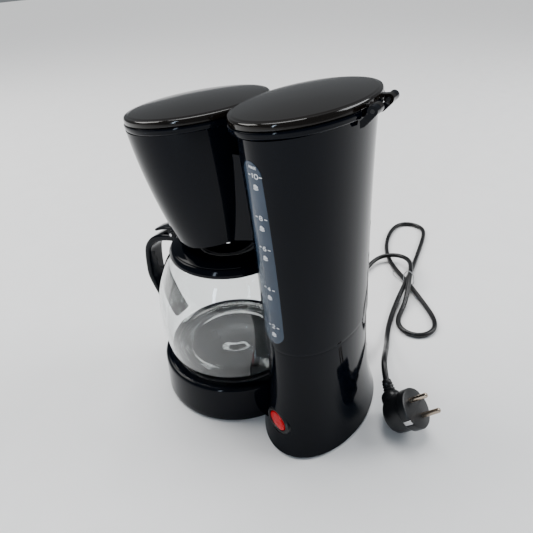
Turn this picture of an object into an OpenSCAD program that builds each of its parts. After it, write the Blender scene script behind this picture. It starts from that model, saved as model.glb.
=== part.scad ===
// Drip coffee maker: round warming base in front, hourglass water tank behind,
// a round brew head over a glass jug, and one two-lobed lid hinged at the rear.
// Origin: middle of the base, on the table. The jug handle points to -Y, the tank is at +Y.

/* [Base] */
// Radius of the round front base
base_r = 77; // [70:0.5:84]
// Height of the base's top rim above the table
base_top_z = 42.7; // [36:0.1:50]
// How far the rubber feet stand below the housing
feet_h = 2; // [1:0.5:4]
// Radius of the warming plate
plate_r = 63; // [55:0.5:68]

/* [Column] */
// Half width of the column at its foot
foot_w = 79.9; // [70:0.1:85]
// Half width of the lower housing at the parting line
waist_w = 66.5; // [55:0.1:70]
// Half width of the tank at the parting line
tank_waist_w = 68; // [60:0.1:72]
// Half width of the tank at the rim
top_w = 75.8; // [65:0.1:85]
// Width of the column over its depth
col_ratio = 1.6; // [1.3:0.01:1.8]
// Height of the parting line between the two housings
part_z = 113.5; // [100:0.5:125]
// Forward lean of the column per unit of height
col_lean = 0.054; // [0:0.001:0.1]
// Distance from the origin to the column's middle at the table
col_y = 76.9; // [70:0.1:85]

/* [Brew head] */
// Distance in front of the origin of the jug's axis
jug_y = -24; // [-30:0.5:-18]
// Half depth of the brew head at the rim
head_w = 58.3; // [50:0.1:62]
// Half depth of the brew head at its bottom
head_bottom_w = 39.5; // [35:0.1:45]
// Width of the brew head over its depth
head_ratio = 1.1; // [1:0.01:1.2]
// Height of the brew head's bottom edge under the front
head_bottom_z = 171; // [165:0.5:180]
// Rise of the brew head's bottom towards the tank, degrees
head_bottom_tilt = 13; // [0:0.5:20]

/* [Lid] */
// Slope of the lid, rising to the rear, degrees
lid_slope = 6.75; // [0:0.25:10]
// Height of the lid's edge above the origin
lid_z = 299.4; // [280:0.1:320]
// Depth of the lid's skirt
lid_skirt = 5.5; // [4:0.1:8]
// Rise of each lobe's domed top
lid_crown = 3; // [0:0.1:6]
// Half width and half depth of the tank lobe
rear_lobe = [75, 53]; // [50:0.5:90]
// Half width and half depth of the brew head lobe
front_lobe = [65.6, 59.6]; // [50:0.1:75]

/* [Walls] */
// Wall of the plastic mouldings
wall = 2.5; // [1.5:0.1:4]
// Wall of the glass jug
glass_t = 2; // [1.5:0.1:3]
// Clearance between pieces of different bodies
gap = 0.4; // [0.2:0.05:1]

/* [Jug] */
// Largest radius of the glass
jug_r = 73.5; // [68:0.5:76]
// Radius of the glass at the neck
neck_r = 50; // [45:0.5:56]
// Radius of the collar's lower edge
collar_r = 55; // [50:0.5:60]
// Width of the strap handle
handle_w = 22; // [16:0.5:28]
// Thickness of the strap handle
handle_t = 7; // [5:0.5:10]

/* [Switch] */
// Long and short half axes of the bezel
bezel_size = [16, 10]; // [6:0.5:20]
// Long and short half axes of the rocker
rocker_size = [12, 6.5]; // [4:0.5:16]

/* [Mains lead] */
// Diameter of the lead
cord_d = 6.2; // [5:0.1:8]
// Radius of the plug's face
plug_r = 19.5; // [17:0.5:22]

/* [Part] */
// Which piece to draw, or all of them

/* [Hidden] */
$fn = 96;

black = [0.03, 0.03, 0.035];
steel = [0.75, 0.76, 0.78];
aluminium = [0.8, 0.81, 0.82];
silicone = [0.82, 0.82, 0.8];
smoke = [0.1, 0.1, 0.11];

base_z = feet_h;
sky_z = 340; // above everything

// ---- curves ----
function unit(v) = v / norm(v);
// Catmull-Rom curve through points, with n steps from each point to the next.
function knot(p, i) = p[max(0, min(len(p) - 1, i))];
function spline_at(p, i, t) =
    let (a = knot(p, i - 1), b = knot(p, i), c = knot(p, i + 1), d = knot(p, i + 2))
    0.5 * (2 * b + (c - a) * t + (2 * a - 5 * b + 4 * c - d) * t * t
        + (3 * b - a - 3 * c + d) * t * t * t);
function spline(p, n) = concat(
    [for (i = [0:len(p) - 2]) for (k = [0:n - 1]) spline_at(p, i, k / n)], [p[len(p) - 1]]);
function heading(c, i) = unit(knot(c, i + 1) - knot(c, i - 1));

// Round tube along a curve, its radius going from r0 to r1.
module tube(c, r0, r1, sides = 8) {
    rings = [for (i = [0:len(c) - 1])
        let (t = heading(c, i), side = unit(cross(t, [0.02, 0.03, 1])), up = cross(side, t),
             r = r0 + (r1 - r0) * i / (len(c) - 1))
        for (k = [0:sides - 1]) c[i] + r * (cos(360 * k / sides) * side
                                            + sin(360 * k / sides) * up)];
    last = (len(c) - 1) * sides;
    polyhedron(rings, concat(
        [[for (k = [sides - 1:-1:0]) k]],
        [for (i = [0:len(c) - 2]) for (k = [0:sides - 1])
            let (a = i * sides + k, b = i * sides + (k + 1) % sides)
            [a, b, b + sides, a + sides]],
        [[for (k = [0:sides - 1]) last + k]]), convexity = 6);
}

// Flat band of thickness t along a curve in the plane.
module band(c, t) {
    n = [for (i = [0:len(c) - 1]) let (h = heading(c, i)) [-h[1], h[0]] * t / 2];
    polygon(concat([for (i = [0:len(c) - 1]) c[i] + n[i]],
                   [for (i = [len(c) - 1:-1:0]) c[i] - n[i]]));
}

// ---- column: an oval hourglass that leans forward ----
function column_w(z) = z < part_z
    ? waist_w + (foot_w - waist_w) * pow((part_z - z) / (part_z - base_z), 3.4)
    : tank_waist_w + (top_w - tank_waist_w) * pow((z - part_z) / (300 - part_z), 2.2);
function column_y(z) = col_y - col_lean * z;

module column(z0, z1, grow = 0, steps = 9) {
    zs = [for (i = [0:steps]) z0 + (z1 - z0) * i / steps];
    multmatrix([[1, 0, 0, 0], [0, 1 / col_ratio, -col_lean, col_y], [0, 0, 1, 0], [0, 0, 0, 1]])
        rotate_extrude()
            polygon(concat([[0, z0]], [for (z = zs) [column_w(max(z, base_z)) + grow, z]],
                           [[0, z1]]));
}

// ---- brew head: a bowl that leans forward, cut off by a tilted plane ----
head_top_z = 290;
head_lean = 0.15;
head_y = -28; // middle of the bowl at height 174
head_cut_y = -66;
function head_r(z) = head_w
    - (head_w - head_bottom_w) * pow(max(0, head_top_z - z) / (head_top_z - head_bottom_z), 1.8);

module head(z0, z1, grow = 0, steps = 10) {
    zs = [for (i = [0:steps]) z0 + (z1 - z0) * i / steps];
    multmatrix([[head_ratio, 0, 0, 0], [0, 1, -head_lean, head_y + head_lean * 174],
                [0, 0, 1, 0], [0, 0, 0, 1]])
        rotate_extrude()
            polygon(concat([[0, z0]], [for (z = zs) [head_r(z) + grow, z]], [[0, z1]]));
}

// Everything under the tilted bottom of the brew head, lifted by rise.
module below_head(rise = 0) {
    translate([0, head_cut_y, head_bottom_z + rise]) rotate([head_bottom_tilt, 0, 0])
        translate([-150, -150, -200]) cube([300, 400, 200]);
}

// ---- lid plane ----
rear_lobe_y = 58.9;
front_lobe_y = -42.3;
module on_lid(z = 0) {
    translate([0, 0, lid_z]) rotate([lid_slope, 0, 0]) translate([0, 0, z]) children();
}
// Both lobes as one block, h high, in the lid plane's frame.
module lobes(h, grow = 0) {
    for (l = [[rear_lobe, rear_lobe_y], [front_lobe, front_lobe_y]])
        translate([0, l[1], 0]) scale([(l[0][0] + grow) / 50, (l[0][1] + grow) / 50, 1])
            cylinder(r = 50, h = h);
}
module above_lid(z) {
    on_lid(z) translate([-200, -300, 0]) cube([400, 600, 200]);
}

// ---- jug bay: the column's front is hollowed for the jug ----
bay_r = 77;
module jug_bay(z0, grow = 0) {
    difference() {
        translate([0, jug_y, z0]) cylinder(r = bay_r + grow, h = 150);
        translate([0, head_cut_y, head_bottom_z + grow]) rotate([head_bottom_tilt, 0, 0])
            translate([-150, -150, 0]) cube([300, 400, 200]);
    }
}

// ---- lower housing ----
plate_z = base_top_z + 0.3;
seal_w = 2.5;
hose_at = [26, 86];
riser_at = [0, 64];
hose_r = 5;

module base_block(grow = 0, z0 = base_z, z1 = base_top_z) {
    round_r = 4;
    r = base_r + grow;
    translate([0, jug_y, 0]) rotate_extrude() polygon(concat(
        [[0, z0], [r, z0]],
        [for (a = [0:15:90]) [r - 1 - round_r * (1 - cos(a)), z1 - round_r * (1 - sin(a))]],
        [[0, z1]]));
}

// The rocker switch sits on the column's foot, facing out and a little up.
sw_pos = [66.2, 62.5, 28];
sw_turn = -27;
sw_tilt = 12.7;
module on_switch(z = 0) {
    translate(sw_pos) rotate([0, 0, sw_turn]) rotate([0, 90 - sw_tilt, 0])
        translate([0, 0, z]) children();
}
module oval(size, h) {
    linear_extrude(h) scale([size[1] / size[0], 1]) circle(r = size[0]);
}
switch_hole = [13.6, 8.2];

exit_pos = [-72.4, 92.8, 13];
exit_turn = 84;
exit_r = 5;

module lower_housing() color(black) difference() {
    union() {
        base_block();
        column(base_z, part_z - 0.1);
    }
    difference() {
        union() {
            base_block(-wall, base_z - 1, base_top_z - wall);
            column(base_z - 1, part_z - wall, -wall * 1.3);
        }
        jug_bay(base_top_z - wall, wall);
    }
    jug_bay(base_top_z);
    translate([0, jug_y, base_top_z - 1.6]) cylinder(r = plate_r + seal_w, h = 5);
    translate([0, jug_y, base_top_z - 10]) cylinder(r = plate_r - 5, h = 20);
    for (p = [hose_at, riser_at]) translate([p[0], p[1], part_z - 8])
        cylinder(r = hose_r + 1, h = 10, $fn = 48);
    on_switch(-9) oval(switch_hole, 20);
    on_switch(-1.62) oval([for (s = bezel_size) s + 0.05], 20);
    translate(exit_pos) rotate([0, 0, exit_turn]) rotate([-90, 0, 0]) translate([0, 0, -14])
        cylinder(r = exit_r, h = 24, $fn = 48);
}

feet_pos = [[-50, -60], [50, -60], [-46, 84], [46, 84]];
screw_pos = [[-30, -80], [30, -80], [-20, 112], [20, 106]];

module bottom_cover() color(black) difference() {
    translate([0, 0, base_z]) {
        translate([0, jug_y, 0]) cylinder(r = base_r - wall - 0.6, h = 2);
        translate([0, column_y(base_z), 0]) scale([1, 1 / col_ratio, 1])
            cylinder(r = foot_w - wall * 1.3 - 1.6, h = 2);
    }
    for (p = feet_pos) translate([p[0], p[1], base_z - 1]) cylinder(r = 6.05, h = 2, $fn = 48);
    for (p = screw_pos) translate([p[0], p[1], base_z - 1]) cylinder(r = 1.6, h = 5, $fn = 32);
    for (x = [-24:8:24]) translate([x - 1.5, -40, base_z - 1]) cube([3, 30, 5]);
}
module rubber_feet() color(smoke)
    for (p = feet_pos) translate([p[0], p[1], 0]) rotate_extrude($fn = 48)
        polygon([[0, 0], [5.2, 0], [6, 0.8], [6, base_z + 0.98], [0, base_z + 0.98]]);
module base_screws() color(steel)
    for (p = screw_pos) translate([p[0], p[1], base_z - 0.8]) {
        cylinder(r = 3, h = 0.79, $fn = 32);
        cylinder(r = 1.55, h = 9, $fn = 32);
    }

// ---- warming plate and heater ----
module warming_plate() color(smoke) translate([0, jug_y, 0]) rotate_extrude() polygon([
    [0, plate_z - 1.2], [plate_r - 2, plate_z - 1.2], [plate_r - 1.4, plate_z - 1.9],
    [plate_r, plate_z - 1.9], [plate_r, plate_z - 0.8], [plate_r - 0.8, plate_z], [0, plate_z]]);
module plate_seal() color(silicone) translate([0, jug_y, base_top_z - 1.6]) difference() {
    cylinder(r = plate_r + seal_w, h = 1.4);
    translate([0, 0, -1]) cylinder(r = plate_r, h = 5);
}

heater_r = 36;
tube_r = 6;
heater_z = plate_z - 1.2 - tube_r;
heater_gap = 80; // degrees left open at the rear
module heater_tube() color(aluminium) translate([0, jug_y, heater_z]) {
    rotate([0, 0, 90 + heater_gap / 2]) rotate_extrude(angle = 360 - heater_gap)
        translate([heater_r, 0]) circle(r = tube_r - 0.01, $fn = 32);
    for (s = [-1, 1]) rotate([0, 0, 90 + s * heater_gap / 2]) translate([heater_r, 0, 0])
        rotate([s * 90, 0, 0]) translate([0, 0, -0.5]) cylinder(r = 4, h = 12, $fn = 32);
}
module heater_clamps() color(steel) translate([0, jug_y, heater_z])
    for (a = [180, 270, 0]) rotate([0, 0, a]) difference() {
        translate([heater_r - 8, -5, -8]) cube([16, 10, 8 + tube_r - 0.02]);
        rotate_extrude() translate([heater_r, 0]) circle(r = tube_r + 0.05, $fn = 32);
    }
module thermostat() color(steel) translate([0, jug_y, plate_z - 1.22 - 9]) {
    cylinder(r = 8, h = 9, $fn = 48);
    translate([-12, -4, 7.5]) cube([24, 8, 1.5]);
    for (x = [-4, 4]) translate([x - 0.4, -3, -6]) cube([0.8, 6, 6.5]);
}
module thermal_fuse() color(silicone) translate([0, jug_y - 18, plate_z - 1.22 - 4])
    rotate([0, 90, 0]) {
        translate([0, 0, -9]) cylinder(r = 3.9, h = 18, $fn = 32);
        translate([0, 0, -14]) cylinder(r = 0.6, h = 28, $fn = 16);
    }
module terminal_block() color(silicone) translate([-18, 92, base_z + 2.02]) difference() {
    cube([32, 12, 14]);
    for (x = [6, 16, 26]) translate([x, -1, 7]) rotate([-90, 0, 0])
        cylinder(r = 2, h = 14, $fn = 24);
}

// ---- switch ----
rocker_gap = 0.5;
module switch_bezel() color(black) on_switch(-1.6) difference() {
    union() {
        oval(bezel_size, 2.8);
        oval([for (s = bezel_size) s - 1], 4);
    }
    translate([0, 0, -5]) oval([for (s = rocker_size) s + rocker_gap], 20);
}
module switch_body() color(smoke) on_switch(-20) difference() {
    oval([for (s = switch_hole) s - 0.2], 18.38);
    translate([0, 0, 10]) oval([for (s = rocker_size) s + rocker_gap], 20);
}
module rocker_switch() color([0.85, 0.06, 0.05]) on_switch() difference() {
    intersection() {
        translate([0, 0, -7]) oval(rocker_size, 16);
        translate([-10, 0, -3]) rotate([0, 90, 0]) cylinder(r = rocker_size[0] - 0.2, h = 20);
    }
    // dished face, low at the side that is pressed
    translate([-10, -4, 22.5]) rotate([0, 90, 0]) cylinder(r = 20, h = 20);
}

// ---- upper housing ----
flange_t = 5.6;
flange_z = -lid_skirt - gap - flange_t;
floor_z = part_z + 0.1;
slot_turn = -28;
// Along, up and radius of the sight slot's upper and lower end.
slot_ends = [[77.5, 270, 9.5], [82.6, 133, 12]];

// Upright tapering slot through the tank's wall, seen along its own normal.
module window_slot(grow = 0) {
    a = slot_ends[0];
    b = slot_ends[1];
    rotate([0, 0, slot_turn]) translate([25, 0, 0]) rotate([90, 0, 90]) linear_extrude(80) {
        for (e = slot_ends) translate([e[0], e[1]]) circle(r = e[2] + grow);
        polygon([[a[0] - a[2] - grow, a[1]], [a[0] + a[2] + grow, a[1]],
                 [b[0] + b[2] + grow, b[1]], [b[0] - b[2] - grow, b[1]]]);
    }
}

hinge_at = [116.8, -6.5]; // along and above the lid plane
lug_x = 21;
lug_r = 3.7;
lug_w = 6.5;
pin_r = 1.5;
module on_hinge() on_lid(hinge_at[1]) translate([0, hinge_at[0], 0]) children();
// Ear behind the tank that carries a hinge pin.
module housing_lug() on_hinge() translate([-lug_w / 2, 0, 0]) rotate([90, 0, 90]) {
    linear_extrude(lug_w) polygon([[-9, -11], [-6, -10], [lug_r * 0.8, -lug_r * 0.6],
                                   [0, lug_r * 0.4], [-9, -6]]);
    cylinder(r = lug_r, h = lug_w, $fn = 48);
}

valve_z = 176; // lower end of the drip-stop's sleeve
sleeve_r = 8.5;
valve_r = 4.5;
neck = [60, 50, 100];

module tank_body() color(black) difference() {
    union() {
        difference() {
            column(floor_z, 312);
            above_lid(flange_z);
        }
        for (x = [-lug_x, lug_x]) translate([x, 0, 0]) housing_lug();
    }
    jug_bay(floor_z - 1);
    difference() {
        column(floor_z + wall, 313, -wall * 1.3);
        jug_bay(floor_z, wall);
    }
    window_slot();
    translate([hose_at[0], hose_at[1], floor_z - 1]) cylinder(r = 4, h = 10, $fn = 48);
    translate([riser_at[0], riser_at[1], floor_z - 1]) cylinder(r = hose_r + 0.02, h = 10, $fn = 48);
    on_hinge() translate([-40, 0, 0]) rotate([0, 90, 0]) cylinder(r = pin_r + 0.02, h = 80, $fn = 32);
}

module brew_head() color(black) difference() {
    head(150, 302);
    below_head();
    above_lid(flange_z);
    column(floor_z, 312);
    difference() {
        head(149, 303, -wall);
        below_head(wall);
    }
    translate([0, jug_y, valve_z - 20]) cylinder(r = sleeve_r, h = 40, $fn = 48);
}

module valve_sleeve() color(smoke) translate([0, jug_y, valve_z]) difference() {
    cylinder(r = sleeve_r - 0.01, h = 12, $fn = 48);
    translate([0, 0, -1]) cylinder(r = valve_r + 0.1, h = 14, $fn = 48);
}

// Block that joins the bowl to the tank, behind the bowl's rear wall.
module neck_block() color(black) difference() {
    translate([-neck[0] / 2, -5, 165]) cube(neck);
    below_head();
    above_lid(flange_z);
    column(floor_z, 312);
    head(149, 303);
}

// Rim that the lid closes on, wrapping both lobes.
module top_rim() color(black) difference() {
    on_lid(flange_z) difference() {
        lobes(flange_t, 0.8);
        translate([0, 0, -1]) lobes(flange_t + 2, -rim_w);
    }
    for (x = [-lug_x, lug_x]) translate([x, 0, 0]) on_hinge()
        translate([-lug_w / 2 - 0.02, -9.02, -30]) cube([lug_w + 0.04, 30, 60]);
}
rim_w = 5;

module sight_window() color([0.55, 0.62, 0.7, 0.6]) intersection() {
    difference() {
        column(floor_z, sky_z, 0.3);
        column(floor_z - 1, sky_z + 1, -wall);
    }
    window_slot(-0.01);
}

// Along and up of each pair of ticks.
marks = [[85.6, 139.4], [83.6, 176], [82.7, 212.2], [82.3, 237.5], [81, 269.6]];
tick_at = 5.4; // from the middle of a figure to the middle of its tick
tick = [80, 2.2, 0.8]; // reach through the wall, length and height of a tick
print_gap = 0.4; // the print stands this far outside the tank wall
module gauge_marks() color([0.9, 0.9, 0.92]) intersection() {
    difference() {
        column(floor_z, sky_z, 0.7);
        column(floor_z - 1, sky_z + 1, print_gap);
    }
    rotate([0, 0, slot_turn]) for (m = marks, side = [-1, 1])
        translate([25, m[0] + side * tick_at - tick.y / 2, m[1] - tick.z / 2]) cube(tick);
}

// ---- water path ----
module tank_strainer() color(silicone) translate([hose_at[0], hose_at[1], floor_z + wall + 0.02])
    difference() {
        cylinder(r = 9, h = 3, $fn = 48);
        translate([0, 0, -1]) cylinder(r = 4, h = 2.5, $fn = 48);
        for (a = [0:60:300]) rotate([0, 0, a]) translate([6, 0, -1])
            cylinder(r = 1, h = 6, $fn = 16);
    }
module inlet_hose() color(silicone)
    tube(spline([[hose_at[0], hose_at[1], floor_z + wall - 0.1], [hose_at[0], hose_at[1], 100],
                 [hose_at[0], hose_at[1], 88], [28, 80, 68], [32, 67, 46], [32, 52, 33],
                 [28, 33, 31], [24, 18, 34], [23.5, 12.5, heater_z]], 3), 3.8, 3.8, 12);
module check_valve() color([0.9, 0.9, 0.88]) translate([hose_at[0], hose_at[1], 100]) difference() {
    cylinder(r = 5.5, h = 10, $fn = 48);
    translate([0, 0, -1]) cylinder(r = 3.85, h = 12, $fn = 48);
}
riser_foot = 60;
module riser_pipe() color(silicone) translate([riser_at[0], riser_at[1], riser_foot]) difference() {
    cylinder(r = hose_r, h = spout_top_z - riser_foot - 8);
    translate([0, 0, -1]) cylinder(r = 3, h = 250);
}
module outlet_hose() color(silicone)
    tube(spline([[riser_at[0], riser_at[1], riser_foot - 0.1], [riser_at[0], riser_at[1], 54],
                 [-3, 61, 38], [-12, 49, 31.5], [-20, 32, 31], [-24, 18, 34],
                 [-23.5, 12.5, heater_z]], 4), 4.2, 3.8, 12);
spout_r = 3.6;
spout_dz = -7.6;
spout_top_z = lid_z + riser_at[1] * tan(lid_slope) + spout_dz;
module spray_spout() color(smoke) {
    on_lid(spout_dz) translate([0, head_spray_y + 4, 0]) rotate([-90, 0, 0])
        cylinder(r = spout_r, h = riser_at[1] - head_spray_y - 4, $fn = 32);
    translate([riser_at[0], riser_at[1], spout_top_z - 7.9]) cylinder(r = hose_r, h = 8, $fn = 48);
}
module spray_head() color(smoke) on_lid(spout_dz - 11) translate([0, head_spray_y, 0]) difference() {
    union() {
        cylinder(r1 = 15, r2 = 9, h = 7, $fn = 64);
        cylinder(r = 6, h = 14, $fn = 48);
    }
    translate([0, 0, -1]) cylinder(r1 = 14, r2 = 8, h = 6, $fn = 64);
    translate([0, 0, 11]) rotate([-90, 0, 0]) cylinder(r = spout_r + 0.02, h = 20, $fn = 32);
}
head_spray_y = -40;

basket_top_z = 268;
basket_low_z = 199;
basket_y = -38;
module filter_basket() color(smoke) translate([0, basket_y, 0]) difference() {
    rotate_extrude() polygon([[0, basket_low_z], [29, basket_low_z], [46, basket_top_z],
        [48.5, basket_top_z], [48.5, basket_top_z + 2], [43.8, basket_top_z + 2],
        [27.5, basket_low_z + 2], [0, basket_low_z + 2]]);
    translate([0, jug_y - basket_y, basket_low_z - 5]) cylinder(r = 4, h = 40, $fn = 32);
}

valve_travel = 1.4;
module drip_stop_valve() color(smoke) translate([0, jug_y, 0]) {
    translate([0, 0, valve_z - valve_travel - 2.1]) cylinder(r1 = 4.5, r2 = 6.5, h = 2, $fn = 48);
    translate([0, 0, valve_z - valve_travel - 0.2]) cylinder(r = valve_r, h = 14.6, $fn = 48);
    translate([0, 0, valve_z + 12]) cylinder(r = 7, h = 1.5, $fn = 48);
}
module valve_spring() color(steel) translate([0, jug_y, valve_z + 12 + 1.5 + valve_travel + 0.6])
    for (i = [0:2]) translate([0, 0, 0.6 + i * 1.6]) rotate_extrude()
        translate([5, 0]) circle(r = 0.5, $fn = 16);

// ---- lid ----
module lid() color(black) {
    difference() {
        union() {
            on_lid() for (l = [[rear_lobe, rear_lobe_y], [front_lobe, front_lobe_y]])
                translate([0, l[1], 0]) scale([1, l[0][1] / l[0][0], 1]) rotate_extrude()
                    polygon(concat([[0, -lid_skirt], [l[0][0], -lid_skirt],
                                    [l[0][0], -1.6], [l[0][0] - 1.4, -0.2]],
                        [for (k = [5:-1:0]) let (u = k / 5.5)
                            [u * (l[0][0] - 2), lid_crown * (1 - u * u)]]));
            for (s = [-1, 1]) translate([s * (lug_x - lug_w - gap), 0, 0]) lid_lug();
        }
        on_lid(-lid_skirt - 1) lobes(lid_skirt + 1 - 2.2, -2.2);
        on_hinge() translate([-40, 0, 0]) rotate([0, 90, 0])
            cylinder(r = pin_r + 0.08, h = 80, $fn = 32);
    }
}
module lid_lug() on_hinge() translate([-lug_w / 2, 0, 0]) {
    rotate([0, 90, 0]) cylinder(r = lug_r, h = lug_w, $fn = 48);
    translate([0, -7.5, 1.2]) cube([lug_w, 8, 2.5]);
}
module lid_hinge_pins() color(steel) on_hinge()
    for (s = [-1, 1]) translate([s > 0 ? lug_x - lug_w * 1.5 - gap - 1 : -lug_x - lug_w / 2, 0, 0])
        rotate([0, 90, 0]) cylinder(r = pin_r, h = 2 * lug_w + gap + 1, $fn = 32);

// ---- jug ----
jug_base_z = plate_z + 0.3;
jug_top_z = 164.5;
// Outline of the glass from its foot to its rim: radius and height.
jug_line = [[58, jug_base_z], [65, 46.5], [69.5, 52], [71.2, 62], [72.8, 78], [jug_r, 92],
            [72.8, 110], [70.6, 122], [67, 134], [62, 146], [56, 154.5], [neck_r + 1.5, 159],
            [neck_r, 162], [neck_r, jug_top_z]];
jug_outside = spline(jug_line, 2);

module carafe_glass() color([0.9, 0.95, 1, 0.3]) translate([0, jug_y, 0]) difference() {
    rotate_extrude() polygon(concat([[0, jug_base_z]], jug_outside, [[0, jug_top_z]]));
    rotate_extrude() polygon(concat([[0, jug_base_z + 3]],
        [for (i = [1:len(jug_outside) - 1]) let (p = jug_outside[i])
            [p[0] - glass_t, max(p[1], jug_base_z + 3)]],
        [[neck_r - glass_t, jug_top_z + 1], [0, jug_top_z + 1]]));
}
collar_z = 156.6;
module carafe_collar() color(black) difference() {
    union() {
        translate([0, jug_y, 0]) rotate_extrude() polygon([
            [0, collar_z], [collar_r, collar_z], [collar_r + 1.2, collar_z + 1.5],
            [collar_r + 1.2, collar_z + 4], [collar_r - 1.5, jug_top_z + 0.6],
            [0, jug_top_z + 0.6]]);
        for (s = [-1, 1]) translate([s * 10.5 - 2, pin_y - 3, pin_z - 3.2]) cube([4, 9, 6.2]);
    }
    translate([0, jug_y, 0]) rotate_extrude() polygon(concat(
        [[0, 150], [75, 150]],
        [for (p = jug_outside) if (p[1] > 150) [p[0] + 0.02, p[1]]],
        [[neck_r + 0.02, jug_top_z + 5], [0, jug_top_z + 5]]));
    translate([-15, pin_y, pin_z]) rotate([0, 90, 0]) cylinder(r = pin_r + 0.02, h = 30, $fn = 32);
}
pin_y = jug_y - collar_r - 4.5;
pin_z = 163.5;

handle_y = -(column_y(base_z) + foot_w / col_ratio);
handle_line = [[jug_y - collar_r - 0.9, 158.5], [-92, 157], [-104, 153.5], [-113.5, 147.5],
               [-120, 138.5], [handle_y + handle_t / 2 + 0.9, 128],
               [handle_y + handle_t / 2, 117], [-123, 104], [-118.6, 92], [-112.5, 80],
               [-105.5, 69], [-100.6, 61], [-98, 55.5]];
module carafe_handle() color(black) difference() {
    translate([-handle_w / 2, 0, 0]) rotate([90, 0, 90]) linear_extrude(handle_w)
        band(spline(handle_line, 3), handle_t);
    translate([0, jug_y, 100]) cylinder(r = collar_r + 1.22, h = 100);
    translate([-12, pin_y - 6, pin_z - 5.2]) cube([24, 12, 20]);
    translate([0, -86, 150]) cylinder(r = 1.55, h = 20, $fn = 32);
    translate([0, -86, 150]) cylinder(r = 3, h = 5.5, $fn = 32);
}
module handle_screw() color(steel) translate([0, -86, 0]) {
    translate([0, 0, 153.7]) cylinder(r = 2.9, h = 1.8, $fn = 32);
    translate([0, 0, 155]) cylinder(r = 1.53, h = 3.2, $fn = 32);
}

lid_seat_z = jug_top_z + 0.9;
lever_w = 15;
module carafe_lid() color(black) difference() {
    union() {
        translate([0, jug_y, 0]) rotate_extrude() polygon([
            [0, 161.5], [20, 161.5], [30, lid_seat_z - 1.5], [44, lid_seat_z - 1.5],
            [44.5, 160], [46.5, 160], [47, lid_seat_z], [collar_r - 2.5, lid_seat_z],
            [collar_r - 2.5, lid_seat_z + 1], [47, 168], [38, 168.6], [30, 167.2],
            [22, 163.7], [0, 163.7]]);
        translate([-lever_w / 2, 0, 0]) rotate([90, 0, 90]) linear_extrude(lever_w)
            band(spline([[-68, 167], [-76, 167.6], [-84, 168], [-93, 166.2], [-102, 163.4],
                         [-109, 160.6]], 3), 2.4);
        translate([-lever_w / 2, pin_y, pin_z]) rotate([0, 90, 0])
            cylinder(r = 2.6, h = lever_w, $fn = 32);
        translate([-lever_w / 2, pin_y - 1.5, pin_z]) cube([lever_w, 3, 4.2]);
    }
    translate([0, jug_y, 155]) cylinder(r = 3, h = 20, $fn = 32);
    translate([-15, pin_y, pin_z]) rotate([0, 90, 0]) cylinder(r = pin_r + 0.08, h = 30, $fn = 32);
}
module carafe_lid_pin() color(steel) translate([-12.5, pin_y, pin_z]) rotate([0, 90, 0])
    cylinder(r = pin_r, h = 25, $fn = 32);

// ---- mains lead, lying on the table behind the machine ----
cord_r = cord_d / 2;
low = cord_r + 0.2;
boot_line = [[-70, 92.5, 13], [-78, 92.8, 13], [-85.6, 91.4, 12.6], [-92.4, 88.4, 11.6],
    [-98.8, 84.4, 10.2], [-105, 79.8, 8.6]];
cord_route = [
    [-105, 79.8, 8.6], [-121, 68.6, 5], [-145, 56.4, low], [-190, 42.6, low], [-236, 36, low],
    [-268, 38, 6], [-289, 46, 9],
    [-298, 66, 12], [-289, 86, 15], [-268, 96, 17.6], [-240, 101.5, 17.6], [-212, 107, 11],
    [-188, 110, 4.5], [-166, 109, low], [-147, 115, low], [-138, 131, low], [-144, 148, low],
    [-162, 156, low], [-184, 149, low], [-211, 127, 3.6], [-240, 103, 4.9], [-264, 80, 4.2],
    [-294, 57, low], [-330, 41, low], [-368, 34, low], [-396, 34, low], [-414, 41, low],
    [-421, 58, low], [-413, 76, low], [-392, 85, low], [-325, 91, low], [-280, 95.5, 5],
    [-240, 98.5, 11.3], [-205, 98, 5], [-165, 100.5, low], [-131, 106, low], [-104, 113.5, 10],
    [-76, 120, 26], [-53, 125, 36.5], [-37, 128.5, 39.5], [-23.6, 136, 32.4]
];
module mains_cord() color(black) tube(spline(cord_route, 2), cord_r, cord_r, 8);
module cord_strain_relief() color(black) {
    tube(spline(boot_line, 3), exit_r - 0.05, cord_r + 0.5, 16);
    translate(exit_pos) rotate([0, 0, exit_turn]) rotate([-90, 0, 0])
        translate([0, 0, -5]) cylinder(r = exit_r - 0.02, h = 4.4, $fn = 48);
}
module cord_tie() color([0.85, 0.86, 0.88]) tube(spline([
    [-243, 93.5, 6], [-243, 93, 12], [-243, 93.5, 18], [-243, 97, 22.8], [-243, 102, 22.8],
    [-243, 105.8, 18], [-243.5, 106.4, 12], [-246, 106.8, 6], [-247.5, 105, 1.4],
    [-247.5, 98, 0.7], [-247.5, 91, 1.2], [-253, 82, 2], [-262, 74, 1.2], [-272, 70, 0.9]], 3),
    0.6, 0.6, 8);

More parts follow.
